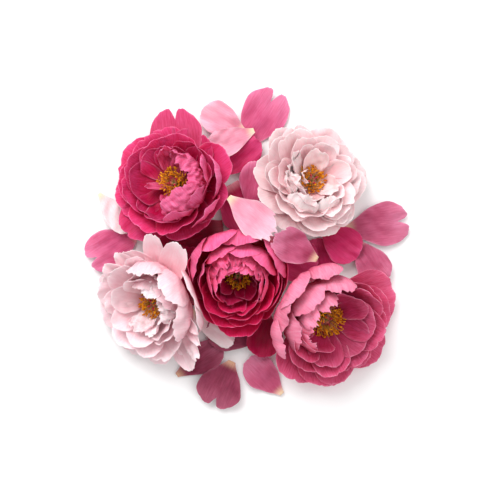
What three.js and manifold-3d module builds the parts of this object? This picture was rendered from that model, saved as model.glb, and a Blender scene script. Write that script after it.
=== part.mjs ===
// A bunch of five cut peony heads lying face up on a surface, with loose petals tucked
// under, between and over them. Millimetres, +Z up; the surface they lie on is z = 0.
import * as THREE from "three";
import { mergeVertices } from "three/addons/utils/BufferGeometryUtils.js";
import Module from "manifold-3d";

const wasm = await Module();
wasm.setup();

// ---------------------------------------------------------------- driving dimensions

const PETAL_THICKNESS = 1.2;
const NODE_GAP = 0.3; // clearance between neighbouring solids

const HEAD_HEIGHT = 17; // from the surface up to the lowest petals' collar
const STEM_RADIUS = 3.4;
const BULB_RADIUS = 8.5; // where the stem swells under the flower
const BULB_HEIGHT = 5;
const PEG_RADIUS = 3.6; // the receptacle that carries the collars

const COLLAR_WIDTH = 6; // the ring that joins the petals of the outermost whorl
const COLLAR_STEP = 1.2; // how much narrower each next collar is
const COLLAR_HEIGHT = 1.6;
const COLLAR_PITCH = COLLAR_HEIGHT + PETAL_THICKNESS; // from one collar to the next

const CARPEL_COUNT = 4;
const CARPEL_HEIGHT = 12;
const CARPEL_RADIUS = 1.6;
const CARPEL_RING = 3; // radius of the disc that carries the carpels
const STAMEN_COUNT = 8;
const STAMEN_LENGTH = 12;
const STAMEN_RADIUS = 0.8;
const ANTHER_RADIUS = 1.3;
const STAMEN_LEAN = 28; // the most that a stamen leans outwards
const STAMEN_CLEARANCE = 2; // from the stamens to the innermost petals

const CLAW_SPREAD = 0.42; // share of its sector that a petal fills where it leaves the collar
const BLADE_SPREAD = 0.97; // the same at its widest
const WIDEST = 0.6; // share of its length where a petal is widest
const SHOULDER = 0.72; // share of its length where its round tip begins
const PINWHEEL = 1.1; // how far one side of a petal stands above its neighbour
const RIM_LIFT = 1.6; // how far both its sides curl up
const CLOSING_AT_BASE = 0.25; // share of a petal's closing that its base takes

const HEAD_SEPARATION = 1.6; // from the outermost petals to the plane between two heads
const WHORL_SEPARATION = 2 * PETAL_THICKNESS + 0.2; // between whorls pressed on that plane
const PRESS_SOFTNESS = 2.5; // the distance over which a pressed petal turns

const LOOSE_CLAW = 0.16; // width of a loose petal's claw, as a share of its widest
const SIDE_CURL = 2.4; // how far the sides of a loose petal curl up
const NOTCH_SPREAD = 0.4; // half the width of the notch in a cleft tip, as a share
const LAYER = PETAL_THICKNESS + SIDE_CURL + 3 * NODE_GAP; // one loose petal over another
const FLOOR_CLEARANCE = 2 * LAYER; // the heads' petals stay this far above the surface

// Each head: where its stem leaves the surface, how far it leans and towards which
// azimuth (0 is +X, 90 is +Y), how much more its petals close on the side it leans away
// from, the room it takes among its neighbours, and its whorls from the outside in. A
// whorl is [name, petals, length, angle at the base, at the tip, turn]; the angles are
// above the head's own horizontal, so over 90 the petal curls back inwards.
const HEADS = [
  {
    name: "crimson", x: -69, y: 65, lean: 18, toward: 150, fold: 12, room: 64, color: 0xc2185b,
    whorls: [["guard", 8, 61, 3, 26, 0], ["outer", 7, 60, 14, 62, 20], ["inner", 6, 50, 27, 86, 0]],
  },
  {
    name: "blush", x: 62, y: 65, lean: 18, toward: 45, fold: 8, room: 60, color: 0xf6d5dd,
    whorls: [
      ["guard", 8, 56, 3, 28, 10], ["outer", 8, 55, 13, 48, 32],
      ["middle", 7, 48, 25, 66, 5], ["inner", 6, 37, 40, 84, 25],
    ],
  },
  {
    name: "cerise", x: -8, y: -23, lean: 14, toward: 270, fold: 8, room: 62, color: 0xc41e63,
    whorls: [
      ["guard", 7, 68, 0, 84, 0], ["outer", 7, 66, 13, 104, 26],
      ["middle", 6, 58, 27, 112, 5], ["inner", 6, 44, 42, 106, 35],
    ],
  },
  {
    name: "ivory", x: -87, y: -51, lean: 28, toward: 212, fold: 14, room: 50, color: 0xf4dfe3,
    whorls: [["guard", 8, 61, 3, 38, 15], ["outer", 7, 58, 14, 64, 40], ["inner", 6, 50, 28, 86, 10]],
  },
  {
    name: "rose", x: 76, y: -67, lean: 24, toward: 318, fold: 12, room: 59, color: 0xe0608f,
    whorls: [["guard", 7, 68, 3, 48, 5], ["outer", 7, 64, 14, 72, 30], ["inner", 6, 54, 28, 88, 0]],
  },
];
const SEPALS = ["calyx", 5, 26, -6, 14, 18];

// Each loose petal: where its narrow claw lies, the azimuth it points to, its length and
// width, and how deep its tip is cleft as a share of its length. It lies on the surface, or
// one or more layers above it, or over some heads with its tip pitched up: over then says
// how far above each of those heads' highest petal its claw has to stay.
const LOOSE_PETALS = [
  { name: "north", x: -3, y: 103, azimuth: 58, length: 68, width: 48, cleft: 0.2 },
  { name: "north_west", x: -2, y: 120, azimuth: 153, length: 48, width: 36, layer: 1 },
  { name: "north_fold", x: 8, y: 120, azimuth: 204, length: 52, width: 32, layer: 2 },
  { name: "north_inner", x: -30, y: 74, azimuth: 40, length: 56, width: 34, layer: 1 },
  { name: "west_upper", x: -150, y: 57, azimuth: 308, length: 50, width: 26, layer: 1 },
  { name: "west", x: -109, y: 16, azimuth: 209, length: 60, width: 44, cleft: 0.2 },
  { name: "south_west", x: -71, y: -129, azimuth: 33, length: 55, width: 32 },
  { name: "south_east", x: 37, y: -148, azimuth: 135, length: 50, width: 34 },
  { name: "south", x: -15, y: -114, azimuth: 245, length: 50, width: 48, cleft: 0.2, layer: 1 },
  { name: "south_inner", x: 14, y: -92, azimuth: 165, length: 56, width: 42, layer: 1 },
  { name: "east", x: 101, y: 20, azimuth: 8, length: 66, width: 46, cleft: 0.2 },
  { name: "east_lower", x: 111, y: 9, azimuth: 304, length: 52, width: 36, layer: 1 },
  { name: "east_inner", x: 78, y: -34, azimuth: 100, length: 44, width: 38 },
  { name: "west_inner", x: -22, y: 14, azimuth: 187, length: 70, width: 46 },
  { name: "middle_left", x: -54, y: -57, azimuth: 95, length: 60, width: 36, layer: 1 },
  { name: "middle_upper", x: -20, y: 66, azimuth: 300, length: 50, width: 40, layer: 1 },
  { name: "middle_right", x: 18, y: 1, azimuth: 341, length: 54, width: 42, layer: 1 },
  { name: "north_middle", x: 4, y: 40, azimuth: 80, length: 50, width: 34, layer: 2 },
  { name: "east_upper", x: 78, y: 20, azimuth: 322, length: 42, width: 36, layer: 2 },
  { name: "south_middle", x: 22, y: -64, azimuth: 262, length: 46, width: 36, layer: 2 },
  { name: "south_strap", x: -58, y: -62, azimuth: 322, length: 56, width: 20, layer: 2 },
  {
    name: "top_upper", x: -17, y: 51, azimuth: 319, length: 60, width: 34, pitch: 16,
    over: { crimson: -16.2, blush: -11.1, cerise: -21.6 },
  },
  {
    name: "top_lower", x: 68, y: -9, azimuth: 152, length: 50, width: 28, pitch: 25,
    over: { blush: -14.6, cerise: -25.1, rose: -27 },
  },
];

const PETAL_GRID = [3, 3]; // rows along and columns across the mesh of a head's petal
const SEPAL_GRID = [2, 2];
const LOOSE_GRID = [4, 6];

// ---------------------------------------------------------------- materials

function leafy(color) {
  return new THREE.MeshStandardMaterial({ color, roughness: 0.65, metalness: 0 });
}

const petalTissue = (head) => leafy(head.color);
const loosePetalTissue = () => leafy(0xe79ac0);
const sepalGreen = () => leafy(0x5f7f3a);
const stemGreen = () => leafy(0x6f8a45);
const antherGold = () => leafy(0xd99a2b);
const carpelPink = () => leafy(0xc98a86);

// ---------------------------------------------------------------- shape helpers

const rad = THREE.MathUtils.degToRad;

function toManifold(geometry) {
  const bare = geometry.clone();
  bare.deleteAttribute("normal");
  bare.deleteAttribute("uv");
  const merged = mergeVertices(bare, 1e-4);
  return new wasm.Manifold(new wasm.Mesh({
    numProp: 3,
    vertProperties: new Float32Array(merged.attributes.position.array),
    triVerts: new Uint32Array(merged.index.array),
  }));
}

// One solid from several that share some volume.
function fuse(geometries) {
  const solid = geometries.map(toManifold).reduce((a, b) => a.add(b));
  const { vertProperties, triVerts } = solid.getMesh();
  const geometry = new THREE.BufferGeometry();
  geometry.setAttribute("position", new THREE.BufferAttribute(vertProperties, 3));
  geometry.setIndex(new THREE.BufferAttribute(triVerts, 1));
  geometry.computeVertexNormals();
  return geometry;
}

// A solid of revolution about z.
function lathe(profile, sides) {
  const points = profile.map(([radius, height]) => new THREE.Vector2(radius, height));
  return new THREE.LatheGeometry(points, sides).rotateX(Math.PI / 2);
}

// A ring of flat facets, each square to one of the pieces that it carries. The radii are
// measured to the middle of a facet.
function ring(inner, outer, low, high, sides, turn = 0) {
  const corner = 1 / Math.cos(Math.PI / sides);
  const profile = [[inner, low], [outer, low], [outer, high], [inner, high], [inner, low]];
  const collar = lathe(profile.map(([radius, height]) => [radius * corner, height]), sides);
  return collar.rotateZ(turn + Math.PI / 2 + Math.PI / sides);
}

// The direction square to the surface middle(u, v), on the side of a petal's upper face.
function upward(middle, u, v) {
  const step = 0.02;
  const along = middle(Math.min(u + step, 1), v).sub(middle(Math.max(u - step, 0), v));
  const across = middle(u, Math.min(v + step, 1)).sub(middle(u, Math.max(v - step, -1)));
  return along.cross(across).normalize();
}

// A closed thin sheet round its middle surface, middle(u, v), with u from 0 to 1 along the
// petal and v from -1 to 1 across it.
function sheet(middle, [rows, columns]) {
  const positions = [];
  for (const side of [0.5, -0.5])
    for (let i = 0; i <= rows; i++)
      for (let j = 0; j <= columns; j++) {
        const u = i / rows;
        const v = Math.sin((j / columns - 0.5) * Math.PI); // closer together at the sides
        const point = middle(u, v);
        point.addScaledVector(upward(middle, u, v), side * PETAL_THICKNESS);
        positions.push(point.x, point.y, point.z);
      }
  const at = (face, i, j) => (face * (rows + 1) + i) * (columns + 1) + j;
  const index = [];
  const quad = (a, b, c, d) => index.push(a, b, c, a, c, d);
  for (let i = 0; i < rows; i++) {
    quad(at(0, i, 0), at(1, i, 0), at(1, i + 1, 0), at(0, i + 1, 0));
    quad(at(0, i, columns), at(0, i + 1, columns), at(1, i + 1, columns), at(1, i, columns));
    for (let j = 0; j < columns; j++) {
      quad(at(0, i, j), at(0, i + 1, j), at(0, i + 1, j + 1), at(0, i, j + 1));
      quad(at(1, i, j), at(1, i, j + 1), at(1, i + 1, j + 1), at(1, i + 1, j));
    }
  }
  for (let j = 0; j < columns; j++) {
    quad(at(0, 0, j), at(0, 0, j + 1), at(1, 0, j + 1), at(1, 0, j));
    quad(at(0, rows, j), at(1, rows, j), at(1, rows, j + 1), at(0, rows, j + 1));
  }
  const geometry = new THREE.BufferGeometry();
  geometry.setAttribute("position", new THREE.Float32BufferAttribute(positions, 3));
  geometry.setIndex(index);
  return geometry;
}

// How far along its length a petal reaches at v, as a share: its tip is an ellipse.
function tipReach(v) {
  return SHOULDER + (1 - SHOULDER) * Math.sqrt(Math.max(0, 1 - v * v));
}

// From claw, at the narrow end, to 1 at the widest part and on to the tip.
function widening(claw, s) {
  return claw + (1 - claw) * Math.sin((Math.min(1, s / WIDEST) * Math.PI) / 2);
}

// ---------------------------------------------------------------- where a head stands

// From a head's own frame, with its axis on z, to where it leans on the surface.
function placement(head) {
  const toward = rad(head.toward);
  const hinge = new THREE.Vector3(-Math.sin(toward), Math.cos(toward), 0);
  const foot = new THREE.Vector3(head.x, head.y, HEAD_HEIGHT);
  const turn = new THREE.Quaternion().setFromAxisAngle(hinge, rad(head.lean));
  return new THREE.Matrix4().compose(foot, turn, new THREE.Vector3(1, 1, 1));
}

// Keeps d below limit: unchanged well inside, and levelling off softly near the limit.
function softLimit(d, limit) {
  const past = (d - limit) / PRESS_SOFTNESS;
  return past < -20 ? d : limit - PRESS_SOFTNESS * Math.log1p(Math.exp(-past));
}

// Presses a point of whorl k of a head against its neighbours and the surface. What would
// pass the plane between two heads climbs along it, as a petal bends up against another.
function press(point, head, k) {
  for (const other of HEADS) {
    if (other === head) continue;
    const away = new THREE.Vector3(other.x - head.x, other.y - head.y, 0);
    const share = head.room / (head.room + other.room);
    const limit = away.length() * share - HEAD_SEPARATION - WHORL_SEPARATION * k;
    away.normalize();
    const distance = (point.x - head.x) * away.x + (point.y - head.y) * away.y;
    const pressed = softLimit(distance, limit);
    point.addScaledVector(away, pressed - distance);
    point.z += distance - pressed;
  }
  point.z = -softLimit(-point.z, -FLOOR_CLEARANCE - WHORL_SEPARATION * k);
  return point;
}

// ---------------------------------------------------------------- the pieces of a head

function pegTop(head) {
  return COLLAR_PITCH * head.whorls.length;
}

function collarRadius(k) {
  return PEG_RADIUS + NODE_GAP + COLLAR_WIDTH - COLLAR_STEP * k;
}

// The middle line of a petal of whorl k, an arc, as its radius and height at a given angle.
// closing is added to the angle at its tip.
function petalArc([, , length, baseAngle, tipAngle], k, closing = 0) {
  const base = rad(baseAngle + CLOSING_AT_BASE * closing);
  const sweep = rad(tipAngle + closing) - base;
  const start = collarRadius(k) - PETAL_THICKNESS;
  const seat = COLLAR_PITCH * k + COLLAR_HEIGHT / 2;
  return {
    angleAt: (s) => base + sweep * s,
    angleAtHeight: (height) => Math.acos(Math.cos(base) - ((height - seat) * sweep) / length),
    radius: (angle) => start + (length * (Math.sin(angle) - Math.sin(base))) / sweep,
    height: (angle) => seat + (length * (Math.cos(base) - Math.cos(angle))) / sweep,
  };
}

// The middle surface of one petal of whorl k, wrapped round the head's axis.
function petalSurface(head, values, k, turn) {
  const sector = Math.PI / values[1];
  const away = -Math.cos(turn - rad(head.toward));
  const arc = petalArc(values, k, head.fold * Math.max(away, away / 2));
  const place = placement(head);
  return (u, v) => {
    const s = u * tipReach(v);
    const angle = arc.angleAt(s);
    const lift = s * (PINWHEEL * v + RIM_LIFT * v * v);
    const radius = arc.radius(angle) - lift * Math.sin(angle);
    const height = arc.height(angle) + lift * Math.cos(angle);
    const azimuth = turn + v * sector * BLADE_SPREAD * widening(CLAW_SPREAD, s);
    const point = new THREE.Vector3(radius * Math.cos(azimuth), radius * Math.sin(azimuth), height);
    return press(point.applyMatrix4(place), head, k);
  };
}

// A collar round the receptacle with its petals, or its sepals, all one piece.
function whorl(head, values, k, grid) {
  const [, count, , , , turn] = values;
  const low = COLLAR_PITCH * k;
  const hole = PEG_RADIUS + NODE_GAP;
  const collar = ring(hole, collarRadius(k), low, low + COLLAR_HEIGHT, count, rad(turn));
  const pieces = [collar.applyMatrix4(placement(head))];
  for (let i = 0; i < count; i++) {
    const azimuth = rad(turn) + (2 * Math.PI * i) / count;
    pieces.push(sheet(petalSurface(head, values, k, azimuth), grid));
  }
  return fuse(pieces);
}

// The stub of the stem, cut so that its end just meets the surface, and the receptacle.
function stem(head) {
  const lean = rad(head.lean);
  const cut = -(HEAD_HEIGHT - STEM_RADIUS * Math.sin(lean)) / Math.cos(lean);
  const bulb = -COLLAR_PITCH - NODE_GAP;
  const profile = [
    [0, cut], [STEM_RADIUS, cut], [STEM_RADIUS, bulb - BULB_HEIGHT], [BULB_RADIUS, bulb],
    [PEG_RADIUS, bulb], [PEG_RADIUS, pegTop(head)], [0, pegTop(head)],
  ];
  return lathe(profile, 10).applyMatrix4(placement(head));
}

function stamens(head) {
  const seat = pegTop(head) + NODE_GAP;
  const hole = CARPEL_RING + NODE_GAP;
  const root = hole + STAMEN_RADIUS + NODE_GAP;
  const innermost = head.whorls.length - 1;
  const arc = petalArc(head.whorls[innermost], innermost);
  const wall = arc.radius(arc.angleAtHeight(seat + STAMEN_LENGTH));
  const reach = wall - STAMEN_CLEARANCE - ANTHER_RADIUS - root;
  const lean = Math.min(rad(STAMEN_LEAN), Math.atan2(reach, STAMEN_LENGTH));
  const rootRing = root + STAMEN_RADIUS;
  const pieces = [ring(hole, rootRing, seat, seat + COLLAR_HEIGHT, STAMEN_COUNT)];
  for (let i = 0; i < STAMEN_COUNT; i++) {
    const stalk = new THREE.CylinderGeometry(ANTHER_RADIUS, STAMEN_RADIUS, STAMEN_LENGTH, 4);
    stalk.rotateX(Math.PI / 2).translate(0, 0, STAMEN_LENGTH / 2);
    stalk.rotateY(i % 2 ? lean : lean / 2).translate(root, 0, seat + NODE_GAP);
    pieces.push(stalk.rotateZ((2 * Math.PI * i) / STAMEN_COUNT));
  }
  return fuse(pieces).applyMatrix4(placement(head));
}

function carpels(head) {
  const seat = pegTop(head) + NODE_GAP;
  const disc = [[0, seat], [CARPEL_RING, seat], [CARPEL_RING, seat + 1], [0, seat + 1]];
  const pieces = [lathe(disc, 8)];
  for (let i = 0; i < CARPEL_COUNT; i++) {
    const pod = new THREE.CylinderGeometry(CARPEL_RADIUS / 2, CARPEL_RADIUS, CARPEL_HEIGHT, 5);
    pod.rotateX(Math.PI / 2).translate(CARPEL_RING - CARPEL_RADIUS, 0, CARPEL_HEIGHT / 2 + seat);
    pod.translate(0, 0, NODE_GAP);
    pieces.push(pod.rotateZ((2 * Math.PI * i) / CARPEL_COUNT));
  }
  return fuse(pieces).applyMatrix4(placement(head));
}

// ---------------------------------------------------------------- a loose petal

// Flat in the middle, so that it lies on the surface, with its sides curled up. crests
// holds the height of each head's highest petal.
function loosePetal(petal, crests) {
  const { length, width, cleft = 0, layer = 0, over = {}, pitch = 0 } = petal;
  const rests = Object.entries(over).map(([head, above]) => crests[head] + above);
  const low = Math.max(layer * LAYER, ...rests);
  const turn = new THREE.Euler(0, rad(-pitch), rad(petal.azimuth), "ZYX");
  const place = new THREE.Matrix4().makeRotationFromEuler(turn);
  place.setPosition(petal.x, petal.y, low + PETAL_THICKNESS / 2);
  const middle = (u, v) => {
    const notch = cleft * Math.max(0, 1 - Math.abs(v) / NOTCH_SPREAD);
    const s = u * (tipReach(v) - notch);
    const across = (v * width * widening(LOOSE_CLAW, s)) / 2;
    const curl = SIDE_CURL * Math.max(0, 2 * Math.abs(v) - 1) ** 2 * Math.min(1, 2 * u);
    return new THREE.Vector3(length * s, across, curl).applyMatrix4(place);
  };
  return sheet(middle, LOOSE_GRID);
}

// ---------------------------------------------------------------- assembly

// Puts the origin under the middle of the bunch, on the surface.
function centre(bunch) {
  const box = new THREE.Box3().setFromObject(bunch, true);
  const middle = box.getCenter(new THREE.Vector3());
  bunch.position.set(-middle.x, -middle.y, -box.min.z);
}

function build() {
  const bunch = new THREE.Group();
  const add = (name, geometry, material) => {
    const mesh = new THREE.Mesh(geometry, material);
    mesh.name = name;
    bunch.add(mesh);
  };
  const crests = {};
  for (const head of HEADS) {
    const peony = `${head.name}_peony`;
    crests[head.name] = 0;
    head.whorls.forEach((values, k) => {
      const petals = whorl(head, values, k, PETAL_GRID);
      petals.computeBoundingBox();
      crests[head.name] = Math.max(crests[head.name], petals.boundingBox.max.z);
      add(`${peony}_${values[0]}_petals`, petals, petalTissue(head));
    });
    add(`${peony}_calyx`, whorl(head, SEPALS, -1, SEPAL_GRID), sepalGreen());
    add(`${peony}_stem`, stem(head), stemGreen());
    add(`${peony}_stamens`, stamens(head), antherGold());
    add(`${peony}_carpels`, carpels(head), carpelPink());
  }
  for (const petal of LOOSE_PETALS)
    add(`loose_petal_${petal.name}`, loosePetal(petal, crests), loosePetalTissue());
  centre(bunch);
  return bunch;
}

export default build();
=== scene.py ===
"""The looks of a bunch of cut peonies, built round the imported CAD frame.

Every petal is a closed thin shell, shaped by formulas in its head's own frame. Lengths are in
mm and angles in degrees, until a mesh is made in metres.
"""

import math
from collections import namedtuple

import bpy
import numpy as np
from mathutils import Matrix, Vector


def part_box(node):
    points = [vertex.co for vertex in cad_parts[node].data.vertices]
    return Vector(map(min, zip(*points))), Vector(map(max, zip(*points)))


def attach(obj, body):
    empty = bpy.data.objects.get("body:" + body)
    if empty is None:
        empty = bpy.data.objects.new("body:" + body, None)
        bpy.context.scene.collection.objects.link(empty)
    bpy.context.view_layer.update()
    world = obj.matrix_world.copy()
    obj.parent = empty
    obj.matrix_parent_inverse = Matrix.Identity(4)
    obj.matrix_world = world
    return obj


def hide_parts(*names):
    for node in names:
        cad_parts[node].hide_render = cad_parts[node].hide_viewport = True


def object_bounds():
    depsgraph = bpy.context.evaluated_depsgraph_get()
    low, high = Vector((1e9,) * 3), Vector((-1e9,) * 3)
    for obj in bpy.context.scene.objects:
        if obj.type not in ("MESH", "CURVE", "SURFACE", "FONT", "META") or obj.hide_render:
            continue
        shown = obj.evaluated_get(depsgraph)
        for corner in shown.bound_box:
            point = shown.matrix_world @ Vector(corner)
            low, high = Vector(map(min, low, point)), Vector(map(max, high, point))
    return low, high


MM = 0.001
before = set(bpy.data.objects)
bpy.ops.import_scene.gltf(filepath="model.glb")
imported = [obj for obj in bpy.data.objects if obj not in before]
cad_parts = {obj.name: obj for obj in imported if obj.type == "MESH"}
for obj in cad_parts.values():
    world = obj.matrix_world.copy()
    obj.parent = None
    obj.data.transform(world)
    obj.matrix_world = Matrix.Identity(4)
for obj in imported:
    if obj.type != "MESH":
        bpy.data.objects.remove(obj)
cad_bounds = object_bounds()

# ------------ noise and small maths

ANY_PHASE = (0, 7)  # radians: a little over a full turn
FAR_BELOW = -30  # a value this many softnesses under its limit is left alone
FAR_PAST = 60  # and one further past it than this counts as this far


def waves(rng, count, shortest, longest):
    """Plane waves that sum to a smooth random field: rows of (kx, ky, phase, weight)."""
    length = np.exp(rng.uniform(math.log(shortest), math.log(longest), count))
    turn = rng.uniform(0, 2 * math.pi, count)
    k = 2 * math.pi / length
    weight = (length / longest) ** 0.7
    weight /= math.sqrt((weight**2).sum() / 2)
    return np.stack([k * np.cos(turn), k * np.sin(turn), rng.uniform(*ANY_PHASE, count), weight], 1)


def field(table, x, y):
    """The sum of the plane waves at x, y."""
    total = np.zeros(np.broadcast(x, y).shape)
    for kx, ky, phase, weight in table:
        total += weight * np.sin(kx * x + ky * y + phase)
    return total


def smooth(low, high, x):
    """0 below low, 1 above high, and an even S between."""
    t = np.clip((x - low) / (high - low), 0, 1)
    return t * t * (3 - 2 * t)


def soft_limit(d, limit, softness):
    """d kept below limit, levelling off softly."""
    past = np.clip((d - limit) / softness, FAR_BELOW, FAR_PAST)
    return np.where(past <= FAR_BELOW, d, limit - softness * np.log1p(np.exp(-past)))


# ------------ where the heads stand

# How much room each head claims against its neighbours.
ROOM = {"crimson": 64, "blush": 60, "cerise": 62, "ivory": 50, "rose": 59}
HEADS = tuple(ROOM)
BASE_DEPTH = 11  # from a head's seat down to its lowest petals
WHORL_GAP = 1.8  # between whorls, where neighbouring heads press on each other
PRESS_PAST = 1  # how far past the plane between two heads the guard petals reach
PRESS_SOFTNESS = 4
PRESS_RISE = 0.8  # how far a petal rises for each mm that it is pressed back
FLOOR_GAP = 1.5  # between whorls, where they press on the surface
FLOOR_SOFTNESS = 2


def points_of(node_name):
    """The vertices of a CAD node, in mm."""
    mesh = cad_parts[node_name].data
    found = np.empty(len(mesh.vertices) * 3)
    mesh.vertices.foreach_get("co", found)
    return found.reshape(-1, 3) / MM


class Head:
    """A head's own frame: seat is the top of the receptacle and up is its axis."""

    def __init__(self, name):
        self.name = name
        self.room = ROOM[name]
        stem = points_of(f"{name}_peony_stem")
        carpels = points_of(f"{name}_peony_carpels")
        low, high = stem.mean(0), carpels.mean(0)
        up = (high - low) / np.linalg.norm(high - low)
        self.up = up
        self.seat = low + up * ((stem - low) @ up).max()
        self.base = self.seat - up * BASE_DEPTH
        lean = up * np.array([1, 1, 0])
        amount = np.linalg.norm(lean)
        toward = lean / amount
        self.toward = math.degrees(math.atan2(toward[1], toward[0]))
        # The head is leant about its hinge, which takes the level axes to these.
        hinge = np.array([-toward[1], toward[0], 0])
        down_slope = toward * up[2] - np.array([0, 0, 1]) * amount
        axes = [(a @ toward) * down_slope + (a @ hinge) * hinge for a in np.eye(3)[:2]]
        self.axes = np.array([*axes, up])
        low_corner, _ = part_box(f"{name}_peony_guard_petals")
        self.floor = low_corner[2] / MM

    def place(self, local):
        """Takes points from the head's own frame to the CAD frame."""
        return local @ self.axes + self.seat


heads = {name: Head(name) for name in HEADS}


def press(points, head, rank):
    """Presses points against the neighbouring heads and the surface, as in the CAD."""
    out = points.copy()
    for other in heads.values():
        if other is head:
            continue
        away = (other.base - head.base)[:2]
        span = np.linalg.norm(away)
        away /= span
        limit = span * head.room / (head.room + other.room) + PRESS_PAST - WHORL_GAP * rank
        d = (out[..., :2] - head.base[:2]) @ away
        pressed = soft_limit(d, limit, PRESS_SOFTNESS)
        out[..., :2] += (pressed - d)[..., None] * away
        out[..., 2] += PRESS_RISE * (d - pressed)
    out[..., 2] = -soft_limit(-out[..., 2], -head.floor - FLOOR_GAP * rank, FLOOR_SOFTNESS)
    return out


# ------------ petals

ROW_CROWDING = 1.25  # over 1, the rows crowd towards the tip
COLUMN_CROWDING = 0.92  # the nearer to 1, the more the columns crowd towards the edges
LINE_END = 1.12  # how far the middle line is stepped, in petal lengths
LINE_STEPS = 120
JAGS = ((5, 0.55), (11, 0.5), (19, 0.4))  # how often the tip's edge waves, and how strongly
JAG_SPACING = 1.7
CLAW_FLARE = 1.3
EDGE_SWAY = 0.02  # how unevenly the two edges run, as a share of the width
EDGE_SWAYS = 17  # and how often
LEAST_WRAP_RADIUS = 8
SPOON_START = 0.1  # how far into its own hollow a petal begins
FLAT = 1e-4  # the least bend across a petal, so that nothing divides by nought
MOST_TURN = 1.35  # radians: past this, the petal's sides run straight
RIM_START = (0.1, 0.5)  # from where to where along a petal its sides begin to wave
RUFFLES = (2.2, 5.1)  # the broad and the fine waves of the rim
CRUMPLE_WAVES = 9
CRUMPLE_START = 0.35  # how far along a petal the crumples reach their height
CRUMPLE_STRETCH = 0.7  # under 1, the crumples are longer along the petal than across it
CRUMPLE_SIZES = (0.35, 1.5)  # the smallest and the largest, against the petal's grain
GROOVE_DEPTH = 0.5  # of the crease along the middle
GROOVE_WIDTH = 0.07  # as a share of the half width
GROOVE_START = 0.3
NOTCH_SHARPNESS = 1.3  # nearer to 1, a notch is more pointed


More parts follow.
